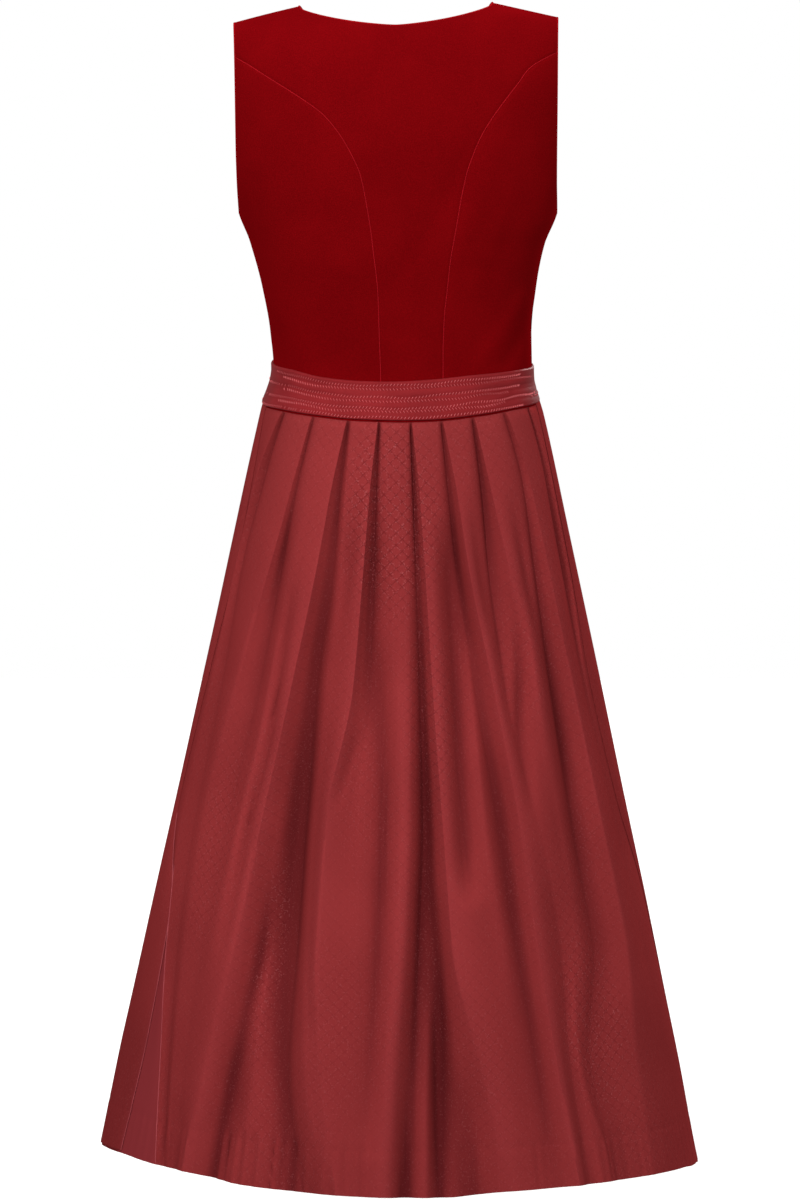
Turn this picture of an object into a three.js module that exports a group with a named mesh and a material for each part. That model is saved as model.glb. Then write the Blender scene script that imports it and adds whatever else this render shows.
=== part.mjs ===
import * as THREE from "three";

// A dirndl as it is worn: a sleeveless velvet bodice, a pleated satin skirt, and an apron on a
// stitched band. Millimetres, +Z up. The wearer's back faces -Y and the front faces +Y.
// The origin is midway between the neck ends of the two shoulder seams.

const seamGap = 0.3;
const velvetWall = 1.8;
const satinWall = 1.6;
const apronWall = 1.4;
const bandWall = 2.4;
const layerGap = 0.4; // between a piece and the one that lies on it

const neckPoint = { x: 101, z: 0 };
const shoulderTip = { x: 168.5, z: -16 };
const underarm = { x: 166, z: -219.5 };
const backNeck = { z: -12, power: 1.5 };
const frontNeck = { z: -150, power: 0.6 };

const bandTop = -386;
const bandMiddle = -408;
const bandFoot = -427;
const bodiceFoot = -431;
const hem = -1212;
const apronHem = -1209;

// The garment's cross-section at each height. Above the underarm the width is that of the
// rounded body, and the armholes cut it off. Power 2 is an ellipse, and more is squarer.
// Shift moves a section sideways. Lean tips it, in millimetres of height for each one across.
const sections = [
  { z: 30, width: 184, back: 112, front: 100, power: 2.4, shift: -2.5, lean: 0.018 },
  { z: -60, width: 183, back: 110, front: 104, power: 2.4, shift: -2, lean: 0.015 },
  { z: -120, width: 180, back: 107, front: 114, power: 2.4, shift: -1.5, lean: 0.01 },
  { z: -180, width: 174, back: 105, front: 129, power: 2.4, shift: -1, lean: 0.003 },
  { z: underarm.z, width: underarm.x, back: 104, front: 136, power: 2.35, shift: 0, lean: 0 },
  { z: -250, width: 154, back: 102, front: 136, power: 2.35, shift: -0.5, lean: -0.003 },
  { z: -300, width: 142.5, back: 96, front: 122, power: 2.3, shift: 1, lean: -0.01 },
  { z: -345, width: 136.5, back: 90, front: 104, power: 2.3, shift: 3, lean: -0.015 },
  { z: bandTop, width: 135, back: 86, front: 94, power: 2.3, shift: 5, lean: -0.018 },
  { z: bodiceFoot, width: 146.5, back: 99, front: 103, power: 2.2, shift: 4.5, lean: -0.017 },
  { z: -560, width: 174.5, back: 125, front: 127, power: 2.05, shift: 4.5, lean: -0.016 },
  { z: -830, width: 232, back: 177, front: 176, power: 2, shift: 3.5, lean: -0.02 },
  { z: hem, width: 315, back: 254, front: 252, power: 2, shift: 2, lean: -0.025 },
];

// Half the distance between the princess seams, from the waist up to the armhole.
const backSeam = [
  { z: -56, x: 168.2 },
  { z: -82, x: 125 },
  { z: -98, x: 101 },
  { z: -127, x: 77 },
  { z: -169, x: 54.5 },
  { z: -227, x: 43 },
  { z: -298, x: 35.7 },
  { z: bandTop, x: 32.5 },
  { z: bodiceFoot, x: 33.5 },
];
const frontSeam = [
  { z: -110, x: 167.8 },
  { z: -130, x: 141 },
  { z: -165, x: 113 },
  { z: -208, x: 96 },
  { z: -260, x: 84 },
  { z: -345, x: 66 },
  { z: bodiceFoot, x: 66 },
];

// Heights that the bodice's rows keep to, up to where a princess seam meets the armhole, and
// the shares of the way from there to the neckline or the shoulder seam.
const waistRows = [bodiceFoot, bandFoot, bandMiddle, bandTop];
const bodiceRows = [...waistRows, -345, -300, -262, -238, underarm.z, -210, -194];
const backRows = [...bodiceRows, -169, -140, -116, -98, -82, -69, -58.5];
const backCorner = -56;
const frontRows = [...bodiceRows, -176, -160, -150, -144, -135, -124, -112.5];
const frontCorner = -110;
const topShares = [0.3, 0.6, 0.82, 0.94, 1];
const centreCells = 12;
const sideCells = 6;

// Pleats and folds of the skirt, in order round it. Each row gives a ridge's or a valley's
// bearing in degrees from the middle of the back, towards +X, and how far it stands out, at
// the heights of foldLevels.
const foldLevels = [bodiceFoot, -560, -700, -830, -990, hem];
const backFolds = [
  { name: "side left", bearing: [-100, -100, -100, -100, -100, -100], rise: [1, 0, 0, 0, 0, 0] },
  { name: "apron edge left", bearing: [-80, -74, -78, -86, -66, -69], rise: [1, 0, 0, 0, 0, 1] },
  { name: "ridge 1", bearing: [-56.5, -70, -73, -79, -64, -54.5], rise: [5, 2, 1, 0, 2, 4] },
  { name: "valley 1", bearing: [-51, -63, -66, -68, -60.5, -52.5], rise: [1, -3, -3, -3, -2, -1] },
  { name: "ridge 2", bearing: [-42.3, -49, -55.8, -60.5, -57, -50.5], rise: [5, 4, 3, 2, 1, 1] },
  { name: "valley 2", bearing: [-39.2, -44.5, -47.3, -50, -51, -48.5], rise: [1, -5, -5, -5, -4, 0] },
  { name: "ridge 3", bearing: [-25.1, -29, -33, -35.2, -39.5, -45], rise: [5, 5, 6, 6, 6, 5] },
  { name: "valley 3", bearing: [-22, -24, -26.2, -27.6, -28, -20.5], rise: [1, -6, -10, -14, -18, -8] },
  { name: "ridge 4", bearing: [-12.5, -13.5, -16, -19.3, -19.5, -14], rise: [5, 4, 5, 5, 3, 2] },
  { name: "valley 4", bearing: [-9.1, -10.2, -12.6, -11, -7, -7], rise: [1, -4, -3, -2, -3, -3] },
  { name: "middle", bearing: [-1.4, 0.5, 1, 0.8, -0.5, -3], rise: [4, 2, 3, 3, 3, 3] },
  { name: "valley 5", bearing: [3.4, 4.4, 5.8, 6.2, 4.4, 2.6], rise: [1, -6, -9, -12, -14, -14] },
  { name: "ridge 5", bearing: [6.3, 8.2, 9.3, 10.7, 14, 22], rise: [5, 4, 6, 7, 7, 6] },
  { name: "valley 6", bearing: [16.1, 18.9, 22.8, 26.5, 29.8, 31.5], rise: [1, -6, -8, -8, -8, -6] },
  { name: "ridge 6", bearing: [21.4, 22.8, 27.4, 31.6, 34, 37.5], rise: [5, 4, 5, 6, 6, 5] },
  { name: "valley 7", bearing: [31, 31.6, 32.5, 37.2, 41, 42], rise: [1, -6, -8, -5, -4, -1] },
  { name: "ridge 7", bearing: [34.5, 37.5, 42, 43.1, 44.5, 44.5], rise: [5, 4, 5, 6, 6, 4] },
  { name: "valley 8", bearing: [47.9, 52.3, 49.6, 49.2, 48.5, 47.5], rise: [1, -5, -9, -11, -9, -8] },
  { name: "ridge 8", bearing: [54.5, 56.3, 58.6, 60.4, 62.5, 60], rise: [5, 3, 4, 4, 5, 4] },
  { name: "valley 9", bearing: [69, 69, 64.5, 68, 74, 74], rise: [1, -2, -2, -1, 0, 0] },
  { name: "apron edge right", bearing: [78, 75, 69.5, 76, 92, 96], rise: [1, 1, 1, 0, 0, 0] },
  { name: "side right", bearing: [104, 104, 104, 104, 104, 104], rise: [1, 0, 0, 0, 0, 0] },
];
const frontFolds = [
  { name: "side right", bearing: [104, 104, 104, 104, 104, 104], rise: [1, 0, 0, 0, 0, 0] },
  { name: "front ridge 1", bearing: [122, 119, 117, 116, 116, 117], rise: [4, 3, 4, 4, 5, 5] },
  { name: "front valley 1", bearing: [126, 124, 124, 125, 127, 130], rise: [1, -4, -6, -8, -9, -8] },
  { name: "front ridge 2", bearing: [142, 140, 138, 137, 138, 141], rise: [4, 4, 5, 6, 6, 5] },
  { name: "front valley 2", bearing: [146, 145, 145, 146, 149, 152], rise: [1, -6, -8, -11, -13, -12] },
  { name: "front ridge 3", bearing: [161, 160, 159, 160, 163, 166], rise: [4, 4, 5, 6, 7, 6] },
  { name: "front valley 3", bearing: [165, 166, 168, 171, 175, 178], rise: [1, -5, -6, -7, -8, -8] },
  { name: "front middle", bearing: [182, 181, 182, 184, 187, 190], rise: [4, 2, 3, 4, 4, 4] },
  { name: "front valley 4", bearing: [196, 196, 196, 198, 201, 203], rise: [1, -6, -8, -9, -10, -9] },
  { name: "front ridge 4", bearing: [200, 202, 204, 208, 212, 214], rise: [4, 4, 5, 6, 5, 5] },
  { name: "front valley 5", bearing: [215, 215, 217, 220, 224, 226], rise: [1, -6, -9, -12, -13, -11] },
  { name: "front ridge 5", bearing: [219, 221, 224, 229, 233, 234], rise: [4, 4, 5, 5, 6, 6] },
  { name: "front valley 6", bearing: [233, 234, 237, 241, 243, 244], rise: [1, -4, -5, -6, -6, -5] },
  { name: "front ridge 6", bearing: [238, 241, 246, 249, 250, 250], rise: [4, 3, 3, 3, 3, 3] },
  { name: "side left", bearing: [260, 260, 260, 260, 260, 260], rise: [1, 0, 0, 0, 0, 0] },
];
const skirtRows = [bodiceFoot, -470, -520, -590, -670, -750, -840, -930, -1065, hem];
const widestCell = 13; // degrees

function cloth(name, color, roughness) {
  return new THREE.MeshStandardMaterial({ name, color, roughness, metalness: 0 });
}
const velvet = cloth("velvet", "#76060a", 0.95);
const satin = cloth("jacquard", "#7f3032", 0.5);
const stitched = cloth("stitched_band", "#963035", 0.55);

const back = { depth: "back", sign: -1 };
const front = { depth: "front", sign: 1 };

const mix = (a, b, t) => a + (b - a) * t;
const radians = THREE.MathUtils.degToRad;

// The slope of one column of a table at row i, flat where the column turns.
function slopeAt(table, key, i) {
  const rise = (j) => (table[j + 1][key] - table[j][key]) / (table[j + 1].z - table[j].z);
  if (i === 0) return rise(0);
  if (i === table.length - 1) return rise(i - 1);
  const above = rise(i - 1);
  const below = rise(i);
  return above * below > 0 ? (2 * above * below) / (above + below) : 0;
}

// One column of a table at any height, as a smooth curve through its rows.
function along(table, key, z) {
  let i = 0;
  while (i < table.length - 2 && z < table[i + 1].z) i++;
  const span = table[i + 1].z - table[i].z;
  const t = THREE.MathUtils.clamp((z - table[i].z) / span, 0, 1);
  const leave = t * (1 - t) ** 2 * slopeAt(table, key, i);
  const arrive = t * t * (1 - t) * slopeAt(table, key, i + 1);
  return mix(table[i][key], table[i + 1][key], t * t * (3 - 2 * t)) + span * (leave - arrive);
}

// The height of the shoulder line above a place on the chest, straight from neck to tip.
function shoulderLine(x) {
  const fall = (shoulderTip.z - neckPoint.z) / (shoulderTip.x - neckPoint.x);
  return neckPoint.z + fall * (Math.abs(x) - neckPoint.x);
}

// How far a place lies outside the rounded form, 0 on it: a ring that arches to the shoulders.
function outside(face, x, y, z) {
  const power = along(sections, "power", z);
  const across = (Math.abs(x) / along(sections, "width", z)) ** power;
  const climb = Math.max(0, (z - underarm.z) / (shoulderLine(x) - underarm.z)) ** power;
  return (Math.abs(y) / along(sections, face.depth, z)) ** power - (1 - across) * (1 - climb);
}

// The form's surface at a place across and up, as a point and the way it faces, which is level
// up to the underarm.
function onForm(face, x, z) {
  const power = along(sections, "power", z);
  const room = Math.max(0, -outside(face, x, 0, z));
  const y = face.sign * along(sections, face.depth, z) * room ** (1 / power);
  const step = 0.02;
  const facing = new THREE.Vector3(
    outside(face, x + step, y, z) - outside(face, x - step, y, z),
    outside(face, x, y + step, z) - outside(face, x, y - step, z),
    z > underarm.z ? outside(face, x, y, z + step) - outside(face, x, y, z - step) : 0,
  ).normalize();
  return { point: new THREE.Vector3(x, y + (face.sign * seamGap) / 2, z), facing };
}

// Sets a point over to the side and tips it, as the worn garment sits.
function settle(point) {
  const { x, y, z } = point;
  return new THREE.Vector3(x + along(sections, "shift", z), y, z + along(sections, "lean", z) * x);
}

// A closed cloth wall through a grid of places. Columns run towards greater bearings and rows
// run upwards. Its outer face is moved out by lift, and it is wall thick.
function clothWall(name, material, grid, wall, lift = 0) {
  const rows = grid.length;
  const columns = grid[0].length;
  const positions = [];
  for (const out of [lift, lift - wall]) {
    for (const { point, facing } of grid.flat()) {
      positions.push(...settle(point.clone().addScaledVector(facing, out)).toArray());
    }
  }
  const outer = (r, c) => r * columns + c;
  const inner = (r, c) => rows * columns + r * columns + c;
  const faces = [];
  const quad = (a, b, c, d) => faces.push(a, b, c, a, c, d);
  for (let r = 0; r + 1 < rows; r++) {
    for (let c = 0; c + 1 < columns; c++) {
      quad(outer(r, c), outer(r, c + 1), outer(r + 1, c + 1), outer(r + 1, c));
      quad(inner(r, c), inner(r + 1, c), inner(r + 1, c + 1), inner(r, c + 1));
    }
    quad(outer(r + 1, 0), inner(r + 1, 0), inner(r, 0), outer(r, 0));
    quad(outer(r, columns - 1), inner(r, columns - 1), inner(r + 1, columns - 1), outer(r + 1, columns - 1));
  }
  for (let c = 0; c + 1 < columns; c++) {
    quad(outer(0, c), inner(0, c), inner(0, c + 1), outer(0, c + 1));
    quad(outer(rows - 1, c + 1), inner(rows - 1, c + 1), inner(rows - 1, c), outer(rows - 1, c));
  }
  const geometry = new THREE.BufferGeometry();
  geometry.setAttribute("position", new THREE.Float32BufferAttribute(positions, 3));
  geometry.setIndex(faces);
  geometry.computeVertexNormals();
  const mesh = new THREE.Mesh(geometry, material);
  mesh.name = name;
  return mesh;
}

// Places from one distance across to another, evenly spaced round the ring at a height.
function spread(z, from, to, cells) {
  const width = along(sections, "width", z);
  const start = Math.asin(THREE.MathUtils.clamp(from / width, -1, 1));
  const end = Math.asin(THREE.MathUtils.clamp(to / width, -1, 1));
  return Array.from({ length: cells + 1 }, (_, i) => width * Math.sin(mix(start, end, i / cells)));
}

// The panel's edge at the armhole, or at the side seam below it.
function outerEdge(z) {
  if (z <= underarm.z) return along(sections, "width", z);
  return mix(underarm.x, shoulderTip.x, (z - underarm.z) / (shoulderTip.z - underarm.z));
}

// A princess seam less or more half the gap, measured square to the seam.
function seamEdge(seam, z, way) {
  const slope = (along(seam, "x", z + 1) - along(seam, "x", z - 1)) / 2;
  return along(seam, "x", z) + (way * seamGap * Math.hypot(1, slope)) / 2;
}

function backNeckline(x) {
  return mix(backNeck.z, neckPoint.z, (Math.abs(x) / neckPoint.x) ** backNeck.power);
}

// The edge that faces the middle of the front: the closing below, the neckline above.
function frontInnerEdge(z) {
  if (z <= frontNeck.z) return seamGap / 2;
  return seamGap / 2 + neckPoint.x * ((z - frontNeck.z) / (neckPoint.z - frontNeck.z)) ** frontNeck.power;
}

function backCentre() {
  const grid = backRows.map((z) => {
    const edge = seamEdge(backSeam, z, -1);
    return spread(z, -edge, edge, centreCells).map((x) => onForm(back, x, z));
  });
  const reach = outerEdge(backCorner);
  const shares = spread(backCorner, -reach, reach, centreCells).map((x) => x / reach);
  for (const share of [0, ...topShares]) {
    const half = outerEdge(mix(backCorner, shoulderTip.z, share));
    grid.push(
      shares.map((across) => {
        const x = across * half;
        const top = Math.abs(x) < neckPoint.x ? backNeckline(x) : shoulderLine(x);
        return onForm(back, x, mix(backCorner, top, share));
      }),
    );
  }
  return clothWall("bodice_back_centre", velvet, grid, velvetWall);
}

// A bodice side panel, from a princess seam to the armhole and side seam. Way is +1 or -1.
function sidePanel(name, face, rows, seam, way) {
  const grid = rows.map((z) => {
    const across = spread(z, way * seamEdge(seam, z, 1), way * outerEdge(z), sideCells);
    if (way * face.sign > 0) across.reverse();
    return across.map((x) => onForm(face, x, z));
  });
  return clothWall(name, velvet, grid, velvetWall);
}

function frontCentre(name, way) {
  const grid = frontRows.map((z) => {
    const across = spread(z, way * frontInnerEdge(z), way * seamEdge(frontSeam, z, -1), sideCells);
    if (way > 0) across.reverse();
    return across.map((x) => onForm(front, x, z));
  });
  for (const share of [0, ...topShares]) {
    const inner = mix(frontCorner, neckPoint.z, share);
    const outer = mix(frontCorner, shoulderTip.z, share);
    const row = [];
    for (let c = 0; c <= sideCells; c++) {
      const x = mix(frontInnerEdge(inner), outerEdge(outer), c / sideCells);
      row.push(onForm(front, way * x, mix(inner, outer, c / sideCells)));
    }
    if (way > 0) row.reverse();
    grid.push(row);
  }
  return clothWall(name, velvet, grid, velvetWall);
}

// The band over the waist, made from the bodice's own columns and moved out.
function waistBand(name, face, seam) {
  const grid = [bandFoot, bandMiddle, bandTop].map((z) => {
    const seamX = along(seam, "x", z);
    const width = along(sections, "width", z);
    const across = [
      ...spread(z, -width, -seamX, sideCells),
      ...spread(z, -seamX, seamX, centreCells).slice(1, -1),
      ...spread(z, seamX, width, sideCells),
    ];
    if (face.sign > 0) across.reverse();
    return across.map((x) => onForm(face, x, z));
  });
  return clothWall(name, stitched, grid, bandWall, layerGap + bandWall);
}

// A fold line's bearing and rise, as a table over the height.
function foldTable({ name, bearing, rise }) {
  return { name, table: foldLevels.map((z, i) => ({ z, bearing: bearing[i], rise: rise[i] })) };
}

// Columns of a pleated cloth: each lies a share of the way between two neighbouring folds.
function foldColumns(folds) {
  const lines = folds.map(foldTable);
  const columns = [{ a: lines[0], b: lines[1], share: 0 }];
  for (let i = 0; i + 1 < lines.length; i++) {
    const widest = Math.max(...foldLevels.map((_, k) => folds[i + 1].bearing[k] - folds[i].bearing[k]));
    const cells = Math.max(2, Math.ceil(widest / widestCell));
    for (let k = 1; k <= cells; k++) columns.push({ a: lines[i], b: lines[i + 1], share: k / cells });
  }
  return columns;
}

// A place on the pleated skirt, facing straight out of its ring.
function onSkirt({ a, b, share }, z, aside = 0) {
  const bearing = mix(along(a.table, "bearing", z), along(b.table, "bearing", z), share);
  const bend = (1 - Math.cos(Math.PI * share)) / 2;
  const rise = mix(along(a.table, "rise", z), along(b.table, "rise", z), bend);
  const face = Math.cos(radians(bearing)) >= 0 ? back : front;
  const width = along(sections, "width", z);
  const x = width * Math.sin(radians(bearing));
  const power = along(sections, "power", z);
  const depth = along(sections, face.depth, z);
  const y = face.sign * depth * (1 - Math.abs(Math.sin(radians(bearing))) ** power) ** (1 / power);
  const facing = new THREE.Vector3(
    (Math.sign(x) * Math.abs(x / width) ** (power - 1)) / width,
    (Math.sign(y) * Math.abs(y / depth) ** (power - 1)) / depth,
    0,
  ).normalize();
  const onward = new THREE.Vector3(-facing.y, facing.x, 0);
  const point = new THREE.Vector3(x, y, z).addScaledVector(facing, rise).addScaledVector(onward, aside);
  return { point, facing };
}

// A pleated cloth between two heights, with its two side edges held half a gap back.
function pleatedCloth(name, columns, { top, foot, wall, lift = 0 }) {
  const heights = [foot, ...skirtRows.slice(1, -1).reverse(), top];
  const last = columns.length - 1;
  const grid = heights.map((z) =>
    columns.map((column, c) => {
      const aside = c === 0 ? seamGap / 2 : c === last ? -seamGap / 2 : 0;
      return onSkirt(column, z, aside);
    }),
  );
  return clothWall(name, satin, grid, wall, lift);
}

const backColumns = foldColumns(backFolds);
const frontColumns = foldColumns(frontFolds);
const edgeStart = backColumns.findIndex(({ b, share }) => b.name === "apron edge right" && share === 1);
const edgeEnd = backColumns.findIndex(({ b, share }) => b.name === "apron edge left" && share === 1);
const apronColumns = [
  ...backColumns.slice(edgeStart),
  ...frontColumns.slice(1),
  ...backColumns.slice(1, edgeEnd + 1),
];

const skirtCloth = { top: bodiceFoot - seamGap, foot: hem, wall: satinWall };

const dirndl = new THREE.Group();
dirndl.name = "dirndl";
dirndl.add(
  backCentre(),
  sidePanel("bodice_back_side_left", back, backRows, backSeam, -1),
  sidePanel("bodice_back_side_right", back, backRows, backSeam, 1),
  sidePanel("bodice_front_side_left", front, frontRows, frontSeam, -1),
  sidePanel("bodice_front_side_right", front, frontRows, frontSeam, 1),
  frontCentre("bodice_front_centre_left", -1),
  frontCentre("bodice_front_centre_right", 1),
  waistBand("apron_band_back", back, backSeam),
  waistBand("apron_band_front", front, frontSeam),
  pleatedCloth("skirt_back", backColumns, skirtCloth),
  pleatedCloth("skirt_front", frontColumns, skirtCloth),
  pleatedCloth("apron_panel", apronColumns, {
    top: bandFoot - seamGap,
    foot: apronHem,
    wall: apronWall,
    lift: layerGap + apronWall,
  }),
);

export default dirndl;
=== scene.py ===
from math import radians, tau

import bpy
import numpy as np
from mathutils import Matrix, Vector


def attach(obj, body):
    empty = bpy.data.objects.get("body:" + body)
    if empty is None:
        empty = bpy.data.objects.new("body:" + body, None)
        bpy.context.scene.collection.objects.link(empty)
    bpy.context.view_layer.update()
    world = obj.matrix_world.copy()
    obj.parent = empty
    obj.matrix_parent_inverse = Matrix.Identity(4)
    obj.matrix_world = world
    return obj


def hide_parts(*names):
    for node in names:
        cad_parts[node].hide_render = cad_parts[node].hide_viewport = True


# A worn dirndl: velvet bodice, pleated satin skirt, and an apron on a stitched band.
# Lengths are in millimetres until a mesh is made. The wearer's back faces -Y.

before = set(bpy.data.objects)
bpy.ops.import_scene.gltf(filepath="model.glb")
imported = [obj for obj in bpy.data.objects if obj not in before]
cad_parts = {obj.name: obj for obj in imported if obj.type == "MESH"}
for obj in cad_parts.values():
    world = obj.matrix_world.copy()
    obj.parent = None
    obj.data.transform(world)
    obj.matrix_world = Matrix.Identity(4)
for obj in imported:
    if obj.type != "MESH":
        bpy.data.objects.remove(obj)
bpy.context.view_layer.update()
mm = 0.001


def mix(a, b, t):
    return a + (b - a) * t


def smooth(low, high, x):
    t = np.clip((np.asarray(x, float) - low) / (high - low), 0, 1)
    return t * t * (3 - 2 * t)


def through(heights, values, z):
    # a smooth curve down a table whose heights fall, flat where its values turn
    heights, values = np.asarray(heights, float), np.asarray(values, float)
    rise = np.diff(values) / np.diff(heights)
    same = rise[:-1] * rise[1:] > 0
    middle = np.where(same, 2 * rise[:-1] * rise[1:] / np.where(same, rise[:-1] + rise[1:], 1), 0)
    slope = np.concatenate([rise[:1], middle, rise[-1:]])
    z = np.asarray(z, float)
    i = np.clip(np.searchsorted(-heights, -z, side="right") - 1, 0, len(heights) - 2)
    span = heights[i + 1] - heights[i]
    t = np.clip((z - heights[i]) / span, 0, 1)
    curve = mix(values[i], values[i + 1], t * t * (3 - 2 * t))
    return curve + span * (t * (1 - t) ** 2 * slope[i] - t * t * (1 - t) * slope[i + 1])


form = {
    "z": [30, -60, -120, -180, -219.5, -250, -300, -345, -386, -431, -560, -830, -1212],
    "width": [184, 183, 180, 174, 166, 154, 142.5, 136.5, 135, 146.5, 174.5, 232, 315],
    "back": [112, 110, 107, 105, 104, 102, 96, 90, 86, 99, 125, 177, 254],
    "front": [100, 104, 114, 129, 136, 136, 122, 104, 94, 103, 127, 176, 252],
    "power": [2.4, 2.4, 2.4, 2.4, 2.35, 2.35, 2.3, 2.3, 2.3, 2.2, 2.05, 2, 2],
    "shift": [-2.5, -2, -1.5, -1, 0, -0.5, 1, 3, 5, 4.5, 4.5, 3.5, 2],
    "lean": [0.018, 0.015, 0.01, 0.003, 0, -0.003, -0.01, -0.015, -0.018, -0.017, -0.016, -0.02, -0.025],
}
neckPoint = {"x": 101, "z": 0}
shoulderTip = {"x": 168.5, "z": -16}
underarm = {"x": 166, "z": -219.5}
seamGap = 0.3
towards = {"back": -1, "front": 1}


def formAt(key, z):
    return through(form["z"], form[key], z)


waist = {
    # how far the band's two edges, and the cloth under them, ride up round the waist
    "bearing": [180, 90, 60, 36, 12, -4, -20, -38, -60, -90, -180],
    "top": [4, 8, 10.5, 9.5, 5, 2.5, 2, 3.5, 7.5, 6.5, 4],
    "foot": [6, 14, 15.5, 12, 7.5, 6.4, 6.4, 7.7, 8.5, 6.5, 6],
}


def ridden(bearing, z):
    return through(waist["bearing"], waist["foot"], bearing) * smooth(-385, -425, z) * smooth(-560, -435, z)


def bearingAt(face, turn):
    # degrees round from the middle of the back, for an angle across either half ring
    around = np.degrees(turn)
    return around if face == "back" else (360 - around) % 360 - 180


def shoulderLine(x):
    fall = (shoulderTip["z"] - neckPoint["z"]) / (shoulderTip["x"] - neckPoint["x"])
    return neckPoint["z"] + fall * (np.abs(x) - neckPoint["x"])


def outside(face, x, y, z):
    power = formAt("power", z)
    across = (np.abs(x) / formAt("width", z)) ** power
    climb = np.maximum(0, (z - underarm["z"]) / (shoulderLine(x) - underarm["z"])) ** power
    return (np.abs(y) / formAt(face, z)) ** power - (1 - across) * (1 - climb)


def unit(vectors):
    return vectors / np.linalg.norm(vectors, axis=-1, keepdims=True)


def onForm(face, x, z):
    # places on the rounded form and the way they face, level up to the underarm
    x, z = np.broadcast_arrays(np.asarray(x, float), np.asarray(z, float))
    room = np.maximum(0, -outside(face, x, 0, z))
    y = towards[face] * formAt(face, z) * room ** (1 / formAt("power", z))
    step = 0.02
    facing = np.stack([
        outside(face, x + step, y, z) - outside(face, x - step, y, z),
        outside(face, x, y + step, z) - outside(face, x, y - step, z),
        np.where(z > underarm["z"], outside(face, x, y, z + step) - outside(face, x, y, z - step), 0),
    ], -1)
    return np.stack([x, y + towards[face] * seamGap / 2, z], -1), unit(facing)


def settle(points):
    # sets places over to the side and tips them, as the worn dress sits
    x, y, z = np.moveaxis(points, -1, 0)
    return np.stack([x + formAt("shift", z), y, z + formAt("lean", z) * x], -1)


def creased(creases, across, up):
    # soft troughs and ridges: each runs from one place to another, with a half width and a height
    total = np.zeros(np.broadcast(across, up).shape)
    for (x0, z0), (x1, z1), width, height in creases:
        dx, dz = x1 - x0, z1 - z0
        length = np.hypot(dx, dz)
        t = ((across - x0) * dx + (up - z0) * dz) / length ** 2
        off = ((across - x0) * dz - (up - z0) * dx) / length
        ends = smooth(-0.25, 0.25, t) * smooth(1.25, 0.75, t)
        total = total + height * np.exp(-(off / width) ** 2) * ends
    return total


def waves(x, z, seed, length):
    # a low, uneven swell made from a few crossing waves, between about -1 and 1
    draw = np.random.default_rng(seed)
    total = 0
    for _ in range(6):
        angle, phase, scale = draw.uniform(0, tau), draw.uniform(0, tau), draw.uniform(0.7, 1.6)
        total = total + np.sin((x * np.cos(angle) + z * np.sin(angle)) * tau / (length * scale) + phase)
    return total / 3.5


def makePiece(name, vertices, faces, materials, uv=None, marks=None, inner=None, sharpAt=50):
    # one mesh from numpy arrays, with its cloth coordinates and painted marks
    mesh = bpy.data.meshes.new(name)
    mesh.from_pydata((vertices * mm).tolist(), [], faces.tolist())
    if uv is not None:
        layer = mesh.uv_layers.new(name="cloth")
        layer.data.foreach_set("uv", (uv * mm)[faces.reshape(-1)].astype(np.float32).ravel())
    for mark, values in (marks or {}).items():
        spot = mesh.attributes.new(mark, "FLOAT", "POINT")
        spot.data.foreach_set("value", values.astype(np.float32).ravel())
    for material in materials:
        mesh.materials.append(material)
    if inner is not None:
        mesh.polygons.foreach_set("material_index", inner.astype(np.int32))
    mesh.polygons.foreach_set("use_smooth", np.ones(len(faces), bool))
    mesh.set_sharp_from_angle(angle=radians(sharpAt))
    mesh.update()
    piece = bpy.data.objects.new(name, mesh)
    bpy.context.scene.collection.objects.link(piece)
    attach(piece, "root")
    return piece


def shell(name, points, facing, wall, lift, materials, uv, marks=None):
    # a closed thin cloth from a grid of places: columns run towards greater bearings, rows upwards
    rows, columns = points.shape[:2]
    outer = settle(points + facing * np.asarray(lift)[..., None])
    inner = settle(points + facing * (lift - wall)[..., None])
    index = np.arange(rows * columns).reshape(rows, columns)
    a, b, c, d = index[:-1, :-1], index[:-1, 1:], index[1:, 1:], index[1:, :-1]
    under = rows * columns
    outerFaces = np.stack([a, b, c, d], -1).reshape(-1, 4)
    innerFaces = np.stack([a, d, c, b], -1).reshape(-1, 4) + under
    rims = []
    for line in (index[0], index[:, -1], index[-1, ::-1], index[::-1, 0]):
        rims.append(np.stack([line[:-1], line[:-1] + under, line[1:] + under, line[1:]], -1))
    faces = np.concatenate([outerFaces, innerFaces, *rims])
    within = np.zeros(len(faces), int)
    if len(materials) > 1:
        within[len(outerFaces):len(outerFaces) + len(innerFaces)] = 1
    vertices = np.concatenate([outer.reshape(-1, 3), inner.reshape(-1, 3)])
    both = {mark: np.concatenate([values.ravel()] * 2) for mark, values in (marks or {}).items()}
    return makePiece(name, vertices, faces, materials, np.concatenate([uv.reshape(-1, 2)] * 2), both, within)


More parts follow.
